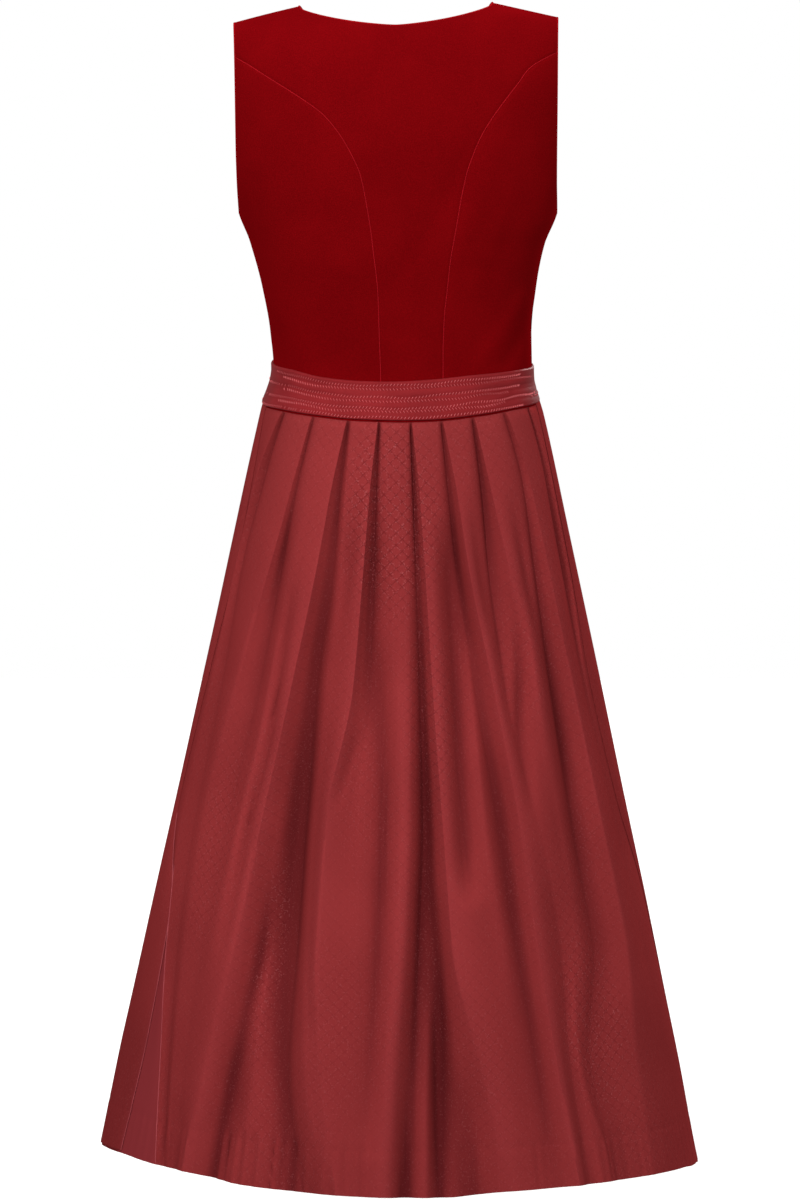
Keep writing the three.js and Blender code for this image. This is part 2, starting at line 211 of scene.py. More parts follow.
def tube(name, path, radius, material, sides=8, closed=False):
    # a round cord along a line of settled places
    path = np.asarray(path, float)
    ahead = np.roll(path, -1, 0) if closed else np.concatenate([path[1:], path[-1:]])
    behind = np.roll(path, 1, 0) if closed else np.concatenate([path[:1], path[:-1]])
    along = unit(ahead - behind)
    aside = [unit(np.cross(along[0], [0.3, 0.5, 1.0]))]
    for way in along[1:]:
        aside.append(unit(aside[-1] - way * np.dot(aside[-1], way)))
    aside = np.array(aside)
    over = np.cross(along, aside)
    if closed:  # turns the last ring to meet the first one
        end = aside[-1] - along[0] * np.dot(aside[-1], along[0])
        twist = -np.arctan2(np.dot(end, over[0]), np.dot(end, aside[0]))
        angle = np.linspace(0, twist, len(path))[:, None]
        aside, over = aside * np.cos(angle) + over * np.sin(angle), over * np.cos(angle) - aside * np.sin(angle)
    turn = np.arange(sides) * tau / sides
    ring = aside[:, None] * np.cos(turn)[:, None] + over[:, None] * np.sin(turn)[:, None]
    vertices = (path[:, None] + ring * radius).reshape(-1, 3)
    rings = np.arange(len(path) * sides).reshape(len(path), sides)
    after = np.roll(rings, -1, 0) if closed else rings[1:]
    here = rings if closed else rings[:-1]
    faces = np.stack([here, np.roll(here, -1, 1), np.roll(after, -1, 1), after], -1).reshape(-1, 4)
    if not closed:
        caps = []
        for line, middle in ((rings[0][::-1], path[0]), (rings[-1], path[-1])):
            vertices = np.concatenate([vertices, middle[None]])
            centre = np.full(sides // 2, len(vertices) - 1)
            caps.append(np.stack([centre, line[0::2], line[1::2], np.roll(line, -2)[0::2]], -1))
        faces = np.concatenate([faces, *caps])
    return makePiece(name, vertices, faces, [material], uv=vertices[:, [0, 2]], sharpAt=60)


class Wire:
    # a socket whose sums and products add Math nodes
    def __init__(self, finish, socket):
        self.finish, self.socket = finish, socket

    def maths(self, operation, *terms):
        return self.finish.add("Math", {"operation": operation}, dict(enumerate(terms)))

    def __add__(self, other):
        return self.maths("ADD", self, other)

    def __radd__(self, other):
        return self.maths("ADD", other, self)

    def __sub__(self, other):
        return self.maths("SUBTRACT", self, other)

    def __rsub__(self, other):
        return self.maths("SUBTRACT", other, self)

    def __mul__(self, other):
        return self.maths("MULTIPLY", self, other)

    def __rmul__(self, other):
        return self.maths("MULTIPLY", other, self)

    def __truediv__(self, other):
        return self.maths("DIVIDE", self, other)

    def __abs__(self):
        return self.maths("ABSOLUTE", self)

    def at(self, operation, *others):
        return self.maths(operation, self, *others)

    def between(self, low, high):
        # rises smoothly from 0 to 1 as the value goes from low to high
        sockets = {"Value": self, "From Min": low, "From Max": high}
        return self.finish.add("MapRange", {"interpolation_type": "SMOOTHSTEP"}, sockets)

    def output(self, name):
        return Wire(self.finish, self.socket.node.outputs[name])


class Finish:
    # a material's node tree
    def __init__(self, name):
        self.material = bpy.data.materials.new(name)
        self.material.use_nodes = True
        self.tree = self.material.node_tree
        self.tree.nodes.clear()

    def add(self, kind, settings=None, sockets=None, output=0):
        node = self.tree.nodes.new("ShaderNode" + kind)
        for key, value in (settings or {}).items():
            setattr(node, key, value)
        for key, value in (sockets or {}).items():
            if isinstance(value, Wire):
                self.tree.links.new(value.socket, node.inputs[key])
            else:
                node.inputs[key].default_value = value
        return Wire(self, node.outputs[output])

    def colours(self, amount, low, high):
        return self.add("Mix", {"data_type": "RGBA"}, {0: amount, 6: low, 7: high}, output=2)

    def noise(self, scale, detail, where=None):
        sockets = {"Scale": scale, "Detail": detail, "Roughness": 0.5}
        sockets["Vector"] = where or self.add("TexCoord").output("Object")
        return self.add("TexNoise", None, sockets)

    def bump(self, height, distance, strength=1.0):
        return self.add("Bump", None, {"Height": height, "Distance": distance, "Strength": strength})

    def done(self, sockets):
        shader = self.add("BsdfPrincipled", None, sockets)
        end = self.tree.nodes.new("ShaderNodeOutputMaterial")
        self.tree.links.new(shader.socket, end.inputs["Surface"])
        return self.material


def colour(text):
    # a hex colour as linear red, green, blue and alpha
    levels = [int(text[i:i + 2], 16) / 255 for i in (1, 3, 5)]
    return [v / 12.92 if v < 0.04045 else ((v + 0.055) / 1.055) ** 2.4 for v in levels] + [1.0]


velvetLook = {
    "deep": "#660307", "lit": "#6d0408", "sheen": "#ac0b12", "napScale": 900,
    # a lighter copy of the velvet for the edge and join cords: painted sheen where the nap rolls over an edge
    "edgeDeep": "#86090f", "edgeLit": "#9a0d14",
}
satinLook = {
    "ground": "#903132", "shade": "#872d2e", "plain": "#8e3337", "gleam": "#ff6a66",
    "motif": "#4c0d12", "motifShare": 0.42, "glint": "#cc7476", "glintShare": 0.28,
    # painted shade down in the folds, towards the hem and beyond the apron's left edge; painted highlight along the
    # fold crests
    "paintedShade": "#4a1316", "paintedShadeShare": 0.8, "paintedHighlight": "#b04448", "paintedHighlightShare": 0.15,
    "cell": 12.5, "cross": 0.19, "stroke": 0.07, "twill": 1.1, "roughness": 0.48, "metallic": 0.15,
}
bandLook = {"ground": "#8a2428", "shade": "#761d20", "roughness": 0.5}
plainLooks = {
    "cotton lining": {"ground": "#5c1216", "shade": "#4d0f13", "roughness": 0.9, "grain": 700},
    "satin wrong side": {"ground": "#74282c", "shade": "#68242a", "roughness": 0.75, "grain": 900},
    "topstitch thread": {"ground": "#e87a7e", "shade": "#d8686c", "roughness": 0.6, "grain": 2500},
    # a lighter satin for the pressed edges: painted highlight along a crisp crease
    "satin edge highlight": {"ground": "#a2454a", "shade": "#97393e", "roughness": 0.55, "grain": 1500, "specular": 0.15},
    # a brighter red for the princess seam cords: painted highlight along each seam
    "seam edge highlight": {"ground": "#a3141c", "shade": "#8c1018", "roughness": 0.9, "grain": 2500, "specular": 0.0},
}


def velvetFinish(name, deep, lit):
    finish = Finish(name)
    clouds = finish.noise(14, 3).between(0.32, 0.68)
    nap = finish.noise(velvetLook["napScale"], 2)
    tone = finish.colours(clouds, colour(deep), colour(lit))
    specks = nap.between(0.3, 0.75) * 0.16
    tone = finish.colours(specks, tone, colour(velvetLook["sheen"]))
    bump = finish.bump(nap, 0.0004, 0.5)
    return finish.done({
        "Base Color": tone, "Roughness": 0.95, "Specular IOR Level": 0.0, "Normal": bump,
        "Sheen Weight": 0.22, "Sheen Roughness": 0.5, "Sheen Tint": colour(velvetLook["sheen"]),
    })


def satinFinish(name):
    finish = Finish(name)
    place = finish.add("UVMap", {"uv_map": "cloth"})
    split = finish.add("SeparateXYZ", None, {0: place})
    u, v = split.output("X"), split.output("Y")
    cell = satinLook["cell"] * mm
    p, q = u / cell, v / cell
    a, b = p - q, p + q  # the two ways that the lattice runs
    da, db = (a + 0.5).at("FRACT") - 0.5, (b + 0.5).at("FRACT") - 0.5
    dx, dy = abs((da + db) * 0.5), abs((db - da) * 0.5)
    stroke = satinLook["stroke"]
    cross = 1 - abs(dx - dy).between(stroke * 0.5, stroke)
    near = 1 - dx.at("MAXIMUM", dy).between(satinLook["cross"] * 0.8, satinLook["cross"])
    net = 1 - abs(da).at("MINIMUM", abs(db)).between(0.03, 0.09)
    twill = ((u + v) / (satinLook["twill"] * mm)).at("FRACT").between(0.25, 0.6)
    patchy = finish.add("Attribute", {"attribute_name": "patterned"}, output=2)
    plain = finish.add("Attribute", {"attribute_name": "plain"}, output=2)
    motif = (cross * near + net * (0.25 + 0.35 * twill)).at("MINIMUM", 1.0) * (patchy * 0.85 + 0.15) * (1 - plain)
    glints = finish.noise(620, 1).between(0.56, 0.7) * (1 - dx.at("MAXIMUM", dy).between(0.2, 0.45))
    glints = glints * (patchy * 0.8 + 0.2) * (1 - plain)
    uneven = finish.noise(6, 3).between(0.3, 0.7)
    ground = finish.colours(uneven, colour(satinLook["shade"]), colour(satinLook["ground"]))
    ground = finish.colours(plain, ground, colour(satinLook["plain"]))
    # painted shade: the satin darkened where the cloth lies deep in a fold
    paintedShade = finish.add("Attribute", {"attribute_name": "paintedShade"}, output=2)
    # painted highlight: the satin lightened along the crests of the folds
    paintedHighlight = finish.add("Attribute", {"attribute_name": "paintedHighlight"}, output=2)
    ground = finish.colours(paintedShade * satinLook["paintedShadeShare"], ground, colour(satinLook["paintedShade"]))
    ground = finish.colours(paintedHighlight * satinLook["paintedHighlightShare"], ground, colour(satinLook["paintedHighlight"]))
    tone = finish.colours(motif * satinLook["motifShare"], ground, colour(satinLook["motif"]))
    tone = finish.colours(glints * satinLook["glintShare"], tone, colour(satinLook["glint"]))
    grain = finish.noise(1300, 2)
    bump = finish.bump(grain * 0.35 + twill * 0.25 + motif * 0.5, 0.00022, 0.6)
    roughness = satinLook["roughness"] + motif * 0.12 + grain * 0.06
    return finish.done({
        "Base Color": tone, "Roughness": roughness, "Specular IOR Level": 0.0, "Normal": bump,
        "Metallic": satinLook["metallic"], "Specular Tint": colour(satinLook["gleam"]),
    })


def plainFinish(name, ground, roughness, grain, shade, glow=0.0, specular=0.3):
    finish = Finish(name)
    threads = finish.noise(grain, 2)
    tone = finish.colours(threads.between(0.3, 0.7), colour(shade), colour(ground))
    bump = finish.bump(threads, 0.0003, 0.4)
    return finish.done({
        "Base Color": tone, "Roughness": roughness, "Specular IOR Level": specular, "Normal": bump,
        "Emission Color": (1, 1, 1, 1), "Emission Strength": glow,
    })


def bandFinish(name):
    finish = Finish(name)
    place = finish.add("UVMap", {"uv_map": "cloth"})
    stretched = finish.add("VectorMath", {"operation": "MULTIPLY"}, {0: place, 1: (220, 2600, 1)})
    threads = finish.noise(1.0, 3, stretched)
    soft = finish.noise(22, 2).between(0.35, 0.65)
    both = threads.between(0.3, 0.7) * 0.5 + soft * 0.5
    tone = finish.colours(both, colour(bandLook["shade"]), colour(bandLook["ground"]))
    bump = finish.bump(threads, 0.0002, 0.5)
    return finish.done({
        "Base Color": tone, "Roughness": bandLook["roughness"] + threads * 0.1, "Specular IOR Level": 0.2,
        "Normal": bump, "Specular Tint": colour(satinLook["gleam"]),
    })


velvet = velvetFinish("velvet", velvetLook["deep"], velvetLook["lit"])
velvetEdgeSheen = velvetFinish("velvet edge sheen", velvetLook["edgeDeep"], velvetLook["edgeLit"])
satin = satinFinish("satin jacquard")
bandSatin = bandFinish("band satin")
lining, satinBack, thread, satinEdgeHighlight, seamHighlightCord = (plainFinish(name, **look) for name, look in plainLooks.items())
print("finishes made")

bodice = {
    "foot": -431, "backCorner": -47, "frontCorner": -110, "wall": 1.8, "rowStep": 4.5, "topStep": 2.6,
    "neckFoot": -150, "heldFrom": -372, "heldTo": -386, "seamDip": 0.9, "seamHalf": 1.6, "swell": 0.35,
    "backSeam": {"z": [-47, -57, -74, -88, -102, -125, -145, -164, -217, -272, -318, -386, -431],
                 "x": [168.6, 145.5, 122, 104.5, 89.4, 72.5, 62.5, 55.2, 45, 37.5, 34, 32.5, 33.5]},
    # the back's seams sit over to the right, because the bodice is worn turned a little
    "aside": {"z": [-47, -57, -74, -88, -102, -125, -164, -217, -272, -318, -386, -431],
              "x": [0, -2, 5, 10.5, 14.3, 15.8, 17.4, 16, 15.2, 12.3, 9.3, 8]},
    "frontSeam": {"z": [-110, -130, -165, -208, -260, -345, -431],
                  "x": [167.8, 141, 113, 96, 84, 66, 66]},
    # each crease runs from one place to another, with a half width and a height
    "backCreases": [
        ((84, -128), (8, -262), 13, -1.5), ((108, -128), (62, -245), 12, 1.3),
        ((132, -296), (82, -366), 9, 1.7), ((140, -322), (104, -374), 8, -1.8),
        ((-150, -165), (-146, -235), 12, -1.5), ((-128, -265), (-127, -330), 6, 1.2),
        ((-52, -345), (-84, -372), 9, -1.0), ((-40, -145), (-62, -185), 9, -0.6),
        ((126, -205), (88, -300), 11, -1.2), ((-70, -250), (-40, -275), 10, 0.7),
        ((60, -262), (110, -268), 9, -0.8), ((-20, -330), (30, -330), 10, -0.5),
    ],
    "frontCreases": [
        ((150, -225), (70, -185), 12, 1.2), ((-150, -225), (-72, -188), 12, 1.1),
        ((120, -330), (66, -372), 10, 1.2), ((-118, -325), (-70, -370), 10, 1.4),
        ((100, -262), (30, -300), 12, -1.0), ((-96, -258), (-34, -296), 12, -1.2),
    ],
}


def spread(z, start, end, share):
    # places from one distance across to another, evenly spaced round the ring at a height
    width = formAt("width", z)
    first, last = (np.arcsin(np.clip(x / width, -1, 1)) for x in (start, end))
    return width * np.sin(mix(first, last, share))


def outerEdge(z):
    above = mix(underarm["x"], shoulderTip["x"], (z - underarm["z"]) / (shoulderTip["z"] - underarm["z"]))
    return np.where(z <= underarm["z"], formAt("width", z), above)


def seamX(seam, z):
    return through(seam["z"], seam["x"], z)


def seamAside(face, z):
    return through(bodice["aside"]["z"], bodice["aside"]["x"], z) if face == "back" else 0.0


def seamSlope(seam, z):
    return (seamX(seam, z + 1) - seamX(seam, z - 1)) / 2


def seamEdge(seam, z, way):
    return seamX(seam, z) + way * seamGap * np.hypot(1, seamSlope(seam, z)) / 2


def backNeckline(x):
    return mix(-12, neckPoint["z"], (np.abs(x) / neckPoint["x"]) ** 1.5)


def frontInnerEdge(z):
    climb = np.clip((z - bodice["neckFoot"]) / (neckPoint["z"] - bodice["neckFoot"]), 0, 1)
    return seamGap / 2 + neckPoint["x"] * climb ** 0.6


def seamDip(seam, x, z, corner):
    # the cloth turns down into a princess seam
    off = (np.abs(x) - seamX(seam, z)) / np.hypot(1, seamSlope(seam, z))
    below = smooth(corner + 6, corner, z)
    return -bodice["seamDip"] * np.exp(-(off / bodice["seamHalf"]) ** 2) * below


def bodiceLift(face, x, z):
    # creases and swells of the velvet, which the band holds flat at the foot
    rise = creased(bodice[face + "Creases"], x, z) + waves(x, z, 3 if face == "back" else 4, 90) * bodice["swell"]
    return rise * smooth(bodice["heldTo"], bodice["heldFrom"], z)


def bodicePanel(name, face, x, z):
    seam = bodice[face + "Seam"]
    width = formAt("width", z)
    under = z + ridden(bearingAt(face, np.arcsin(np.clip(x / width, -1, 1))), z)
    points, facing = onForm(face, x * formAt("width", under) / width, under)
    lift = bodiceLift(face, x, z) + seamDip(seam, x - seamAside(face, z), z, bodice[face + "Corner"])
    piece = shell(name + "_velvet", points, facing, bodice["wall"], lift, [velvet, lining], np.stack([x, z], -1))
    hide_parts(name)
    return piece


def heights(low, high, step):
    return np.linspace(low, high, int(round((high - low) / step)) + 1)


def panelRows(middle, top):
    # heights up a centre panel, closer together above the middle one
    low = heights(bodice["foot"], middle, bodice["rowStep"])[:-1]
    return np.concatenate([low, heights(middle, top, bodice["topStep"])])[:, None]


def backCentre():
    seam = bodice["backSeam"]
    corner = bodice["backCorner"]
    z = panelRows(-130, corner)
    share = np.linspace(0, 1, 61)[None]
    edge, aside = seamEdge(seam, z, -1), seamAside("back", z)
    x = spread(z, aside - edge, aside + edge, share)
    reach = outerEdge(corner)
    across = spread(corner, -reach, reach, share) / reach
    climb = np.linspace(0, 1, 17)[:, None]
    topX = across * outerEdge(mix(corner, shoulderTip["z"], climb))
    top = np.where(np.abs(topX) < neckPoint["x"], backNeckline(topX), shoulderLine(topX))
    topZ = mix(corner, top, climb)
    x = np.concatenate([x, topX])
    z = np.concatenate([np.broadcast_to(z, (len(z), share.size)), topZ])
    return bodicePanel("bodice_back_centre", "back", x, z)


def sidePanel(name, face, top, way):
    seam = bodice[face + "Seam"]
    arm = underarm["z"]
    z = np.concatenate([  # closest where the armhole's edge turns up
        heights(bodice["foot"], arm, bodice["rowStep"])[:-1], heights(arm, arm + 6, 0.75)[:-1],
        heights(arm + 6, top, 2.9)])[:, None]
    share = np.linspace(0, 1, 31)[None]
    x = spread(z, way * seamEdge(seam, z, 1) + seamAside(face, z), way * outerEdge(z), share)
    if way * towards[face] > 0:
        x = x[:, ::-1]
    return bodicePanel(name, face, x, np.broadcast_to(z, x.shape))


def frontCentre(name, way):
    seam = bodice["frontSeam"]
    corner = bodice["frontCorner"]
    z = panelRows(-180, corner)
    share = np.linspace(0, 1, 31)[None]
    x = spread(z, way * frontInnerEdge(z), way * seamEdge(seam, z, -1), share)
    climb = np.linspace(0, 1, 33)[1:, None]
    inner, outer = mix(corner, neckPoint["z"], climb), mix(corner, shoulderTip["z"], climb)
    topX = way * mix(frontInnerEdge(inner), outerEdge(outer), share)
    x = np.concatenate([x, topX])
    z = np.concatenate([np.broadcast_to(z, (len(z), share.size)), mix(inner, outer, share)])
    if way > 0:
        x, z = x[:, ::-1], z[:, ::-1]
    return bodicePanel(name, "front", x, z)


sides = {"left": -1, "right": 1}
panels = {"bodice_back_centre": backCentre()}
for side, way in sides.items():
    panels["bodice_back_side_" + side] = sidePanel("bodice_back_side_" + side, "back", -47.6, way)
    panels["bodice_front_side_" + side] = sidePanel("bodice_front_side_" + side, "front", -111, way)
    panels["bodice_front_centre_" + side] = frontCentre("bodice_front_centre_" + side, way)
print("bodice made")


def onPanel(face, x, z, lift=0.0):
    # settled places on the velvet's outer face, with the bodice's own creases
    points, facing = onForm(face, x, z)
    rise = bodiceLift(face, x, z) + lift
    return settle(points + facing * rise[..., None])


edges = {
    "radius": 1.15, "lift": -0.9, "seamRadius": 0.55, "seamLift": -0.75, "joinLift": -0.3, "seamFoot": -408,
    "closingRadius": 0.8, "closingLift": -1.3,
}


def neckEdge():
    x = np.linspace(-neckPoint["x"], neckPoint["x"], 90)
    back = onPanel("back", x, backNeckline(x), edges["lift"])
    z = bodice["neckFoot"] * np.linspace(0, 1, 70)[1:] ** 1.3
    right = onPanel("front", frontInnerEdge(z), z, edges["lift"])
    left = onPanel("front", -frontInnerEdge(z), z, edges["lift"])[::-1]
    return np.concatenate([back, right, left])


def armEdge(way):
    z = mix(underarm["z"], shoulderTip["z"], (1 - np.cos(np.linspace(0, np.pi, 110))) / 2)
    back = onPanel("back", way * outerEdge(z), z, edges["lift"])
    front = onPanel("front", way * outerEdge(z), z, edges["lift"])[::-1]
    return np.concatenate([back, front])


sideZ, shoulderX = heights(edges["seamFoot"], underarm["z"] - 1, 3), np.linspace(102, 167.5, 24)
trims = {"neck_edge": tube("neck_edge", neckEdge(), edges["radius"], velvetEdgeSheen, closed=True)}
for side, way in sides.items():
    trims["arm_edge_" + side] = tube("arm_edge_" + side, armEdge(way), edges["radius"], velvetEdgeSheen, closed=True)
    for face in ("back", "front"):
        seam = bodice[face + "Seam"]
        z = heights(edges["seamFoot"], seam["z"][0] - 1, 3)
        line = onPanel(face, way * seamX(seam, z) + seamAside(face, z), z, edges["seamLift"])
        name = face + "_princess_seam_" + side
        trims[name] = tube(name, line, edges["seamRadius"], seamHighlightCord, sides=6)
    for name, x, z in (
        ("side_seam_", outerEdge(sideZ), sideZ),
        ("shoulder_seam_", shoulderX, shoulderLine(shoulderX)),
    ):
        line = (onPanel("back", way * x, z, edges["joinLift"]) + onPanel("front", way * x, z, edges["joinLift"])) / 2
        trims[name + side] = tube(name + side, line, edges["seamRadius"], velvetEdgeSheen, sides=6)
closing = heights(edges["seamFoot"], -153, 3)  # a cord behind the front edges, where they are hooked together
closing = onPanel("front", 0 * closing, closing, edges["closingLift"])
trims["front_closing"] = tube("front_closing", closing, edges["closingRadius"], velvetEdgeSheen, sides=6)
print("bodice edges made")

band = {
    "top": -386, "foot": -429.2, "halfLength": 215, "width": 41, "wall": 2.4, "gap": 0.4, "rows": 58, "columns": 150,
    "edge": 1.4, "edgeWidth": 1.6,
    "stitchRows": [0.11, 0.21, 0.41, 0.52, 0.70, 0.78, 0.935],
    "puffs": [0.1, 0.15, 0.7, 0.2, 0.5, 0.2, 0.45, 0.1],  # between the rows, from the top down
    "stitch": {"length": 1.7, "pitch": 3.6, "half": 0.56, "slant": 1.15, "waver": 0.025, "reach": 0.75},
}


def bandPlace(face, turn, down, lift=0.0):
    # turn goes from -1 to 1 round the half ring, and down from 0 at the top edge to 1
    bearing = bearingAt(face, turn * np.pi / 2)
    top, foot = (band[edge] + through(waist["bearing"], waist[edge], bearing) for edge in ("top", "foot"))
    z = mix(top, foot, down)
    x = formAt("width", z) * np.sin(turn * np.pi / 2)
    points, facing = onForm(face, x, z)
    rows = np.concatenate([[0], band["stitchRows"], [1]])
    puff = np.zeros(np.broadcast(turn, down).shape)
    for low, high, height in zip(rows[:-1], rows[1:], band["puffs"]):
        t = np.clip((down - low) / (high - low), 0, 1)
        uneven = 1 + 0.6 * waves(x, z * 3, int(low * 100) + 40, 120)
        puff = puff + height * np.sin(np.pi * t) ** 0.8 * uneven
    puff = puff * mix(0.2, 1, smooth(1, 0.6, np.abs(turn)))
    size = band["top"] - band["foot"]
    fromEdge = np.minimum(down, 1 - down) * size
    rounded = -band["edge"] * (1 - np.clip(fromEdge / band["edgeWidth"], 0, 1)) ** 2
    rise = band["gap"] + band["wall"] + puff + rounded + 0.5 * waves(x, z * 2, 60, 160) + lift
    return points, facing, rise


def makeBand(face):
    turn = np.linspace(-1, 1, band["columns"] + 1)[None]
    down = np.linspace(1, 0, band["rows"] + 1)[:, None]
    if face == "front":
        turn = turn[:, ::-1]
    turn, down = np.broadcast_arrays(turn, down)
    points, facing, rise = bandPlace(face, turn, down)
    uv = np.stack([turn * band["halfLength"], (1 - down) * band["width"]], -1)
    name = "apron_band_" + face
    # the inside keeps to the band's plain ring
    piece = shell(name + "_satin", points, facing, np.maximum(rise - band["gap"], 0.6), rise, [bandSatin], uv)
    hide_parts(name)
    return piece


def makeStitches(face):
    # rows of short slanted stitches, lying in the band's grooves
    stitch = band["stitch"]
    vertices, faces = [], []
    ring, up = np.array([0, 0.5, 1, 1.5]) * np.pi, np.array([0, 0, 1.0])
    for number, row in enumerate(band["stitchRows"]):
        draw = np.random.default_rng(70 + number)
        middle = np.arange(-1, 1, stitch["pitch"] / band["halfLength"]) + draw.uniform(0, 0.01)
        worn = 0.25 * waves(middle * band["halfLength"], 0, 80 + number, 90)
        middle = middle[np.abs(middle) + draw.uniform(-0.08, 0.08, middle.size) < stitch["reach"] + worn]
        row = row + stitch["waver"] * waves(middle * band["halfLength"], 0, 90 + number, 60)
        count, half = middle.size, stitch["length"] / (2 * band["halfLength"])
        slant = stitch["slant"] / band["width"] * (1 if number % 2 else -1)
        spine = []
        for t, thick in ((-1, 0.35), (-0.5, 0.95), (0.5, 0.95), (1, 0.35)):
            turn, down = middle + half * t, row + slant * t
            points, facing, rise = bandPlace(face, turn, down, 0.12)
            centre = settle(points + facing * rise[:, None])
            spine.append(centre[:, None] + stitch["half"] * thick * (
                np.cos(ring)[None, :, None] * up + np.sin(ring)[None, :, None] * facing[:, None]))
        block = np.stack(spine, 1)  # stitch, ring, corner, axis
        start = sum(len(v) for v in vertices)
        index = start + np.arange(count * 16).reshape(count, 4, 4)
        vertices.append(block.reshape(-1, 3))
        here, after = index[:, :-1], index[:, 1:]
        side = np.stack([here, after, np.roll(after, -1, 2), np.roll(here, -1, 2)], -1).reshape(-1, 4)
        faces += [side, index[:, 0], index[:, -1, ::-1]]
    vertices, faces = np.concatenate(vertices), np.concatenate(faces)
    name = "band_stitches_" + face
    piece = makePiece(name, vertices, faces, [thread], uv=vertices[:, [0, 2]], sharpAt=80)
    return piece


bands = {face: makeBand(face) for face in ("back", "front")}
stitches = {face: makeStitches(face) for face in ("back", "front")}
print("band made")

# Fold lines in order round the skirt: bearings in degrees from the middle of the back towards
# +X, and how far each stands out, at the heights of its levels. A pleat is a ridge and a
# valley of one number.
backLevels = [-431, -500, -580, -700, -830, -960, -1090, -1212]
backFolds = [
    ("side left", [-100] * 8, [0] * 8),
    ("apron edge left", [-80, -75.5, -74, -78, -82, -68.5, -67, -68.3], [0, 0, 0, 0, 0, 0, 0, 1]),
    ("ridge 1", [-59.4, -69.3, -72.9, -74, -74.5, -67.3, -59, -53.5], [2.5, 3, 2, 1.5, 2, 3.5, 4.5, 3.5]),
    ("valley 1", [-58.8, -66.3, -70, -67, -66, -62, -56.3, -51.5], [-2, -4, -3, -2.5, 0, 2, 2, 0]),
    ("ridge 2", [-40.5, -44.9, -49.4, -55.8, -60, -57.5, -54, -50.5], [1.5, 2.5, 3.5, 4, 4, 5.5, 5, 1]),
    ("valley 2", [-39.9, -43.4, -46.2, -47.3, -50, -51, -50.2, -48.5], [-2, -2.2, -7, -4.5, 0, 4.5, 4.5, 0]),
    ("ridge 3", [-23.4, -26.9, -29.4, -33.3, -37, -40, -43, -44.8], [2.5, 5, 6, 7, 8, 8, 8, 7]),
    ("valley 3", [-22.8, -24.2, -24.8, -27.3, -27.2, -26, -25, -19.2], [-2.5, -4.2, -9, -15, -20, -19, -13, -13]),
    ("shoulder 3", [-21.5, -21.5, -21, -23.3, -23.4, -22.6, -20, -14], [1, 1, -2, -8, -8, -6, -1, -2]),
    ("ridge 4", [-10.1, -12, -13, -14.3, -19.3, -19.5, -16.5, -12], [2.5, 4, 4.5, 4.5, 4, 3, 2, 2]),
    ("valley 4", [-9.5, -9.9, -9.9, -9.8, -12.3, -10, -8.2, -8], [-2.5, -4.6, -10.5, -9, -4, -1, 0, 0]),
    ("middle", [-3, -1.4, 0.5, 1, 0.8, -0.3, -2.6, -3.2], [2.5, 3, 3, 2, 1.5, 1.5, 2, 2]),
    ("valley 5", [3.4, 4.1, 4.7, 5.5, 6, 4.6, 2.9, 2.6], [-2.5, -4.5, -5, -10, -17, -20, -19, -14]),
    ("ridge 5", [4, 6.3, 7.6, 8.9, 10.4, 11.8, 17.7, 22], [2.5, 4.5, 5.5, 6, 6, 5.5, 3, 0]),
    ("valley 6", [16.3, 17.6, 19.6, 22.8, 26.5, 28.2, 30, 31], [-2.5, -4.6, -9, -10, -11, -9, -7, -4]),
    ("ridge 6", [16.9, 20.4, 22.6, 27.4, 31, 32.5, 34.1, 36], [2.5, 4.5, 7, 6, 6, 6, 6, 5]),
    ("valley 7", [30.6, 31.6, 31.7, 32.3, 37, 40.2, 38.3, 39.5], [-2.5, -5.5, -9, -3, 3, -4, -2, -3]),
    ("ridge 7", [31.2, 34.4, 38, 41.8, 44, 45.6, 40.8, 42], [2.5, 4.5, 6, 6, -1, -3, -2, 0]),
    ("valley 8", [48, 52.4, 52.4, 52, 52.6, 52.4, 44.6, 47], [-2, -2, -6.5, -9, -12, -9, -6, -4]),
    ("ridge 8", [48.7, 55, 56.6, 59, 60.8, 62.5, 58, 57], [2.5, 3.5, 5, 4, 4.5, 5, 4, 3]),
    ("valley 9", [67.5, 72, 72, 68.5, 70.5, 73.5, 75, 75], [-2, -4, -5.5, -1, 0, 0, 0, 0]),
    ("ridge 9", [68.2, 74.3, 74, 70.4, 73.4, 80, 83, 84], [2, 2, 1, 0.5, 0, 0, 0, 0]),
    ("apron edge right", [79, 78.5, 77, 73, 76.5, 90, 94.5, 96], [0, 0, 0, 0, 0, 0, 0, 0]),
    ("side right", [104] * 8, [0] * 8),
]
frontLevels = [-431, -560, -700, -830, -990, -1212]
frontFolds = [
    ("side right", [104] * 6, [0] * 6),
    ("ridge 1", [122, 119, 117, 116, 116, 117], [4, 3, 4, 4, 5, 5]),
    ("valley 1", [124, 124, 124, 125, 127, 130], [-1, -4, -6, -8, -9, -8]),
    ("ridge 2", [142, 140, 138, 137, 138, 141], [4, 4, 5, 6, 6, 5]),
    ("valley 2", [144, 145, 145, 146, 149, 152], [-1, -6, -8, -11, -13, -12]),
    ("ridge 3", [161, 160, 159, 160, 163, 166], [4, 4, 5, 6, 7, 6]),
    ("valley 3", [163, 166, 168, 171, 175, 178], [-1, -5, -6, -7, -8, -8]),
    ("middle", [182, 181, 182, 184, 187, 190], [4, 2, 3, 4, 4, 4]),
    ("valley 4", [198, 196, 196, 198, 201, 203], [-1, -6, -8, -9, -10, -9]),
    ("ridge 4", [200, 202, 204, 208, 212, 214], [4, 4, 5, 6, 5, 5]),
    ("valley 5", [217, 215, 217, 220, 224, 226], [-1, -6, -9, -12, -13, -11]),
    ("ridge 5", [219, 221, 224, 229, 233, 234], [4, 4, 5, 5, 6, 6]),
    ("valley 6", [236, 234, 237, 241, 243, 244], [-1, -4, -5, -6, -6, -5]),
    ("ridge 6", [238, 241, 246, 249, 250, 250], [4, 3, 3, 3, 3, 3]),
    ("side left", [260] * 6, [0] * 6),
]
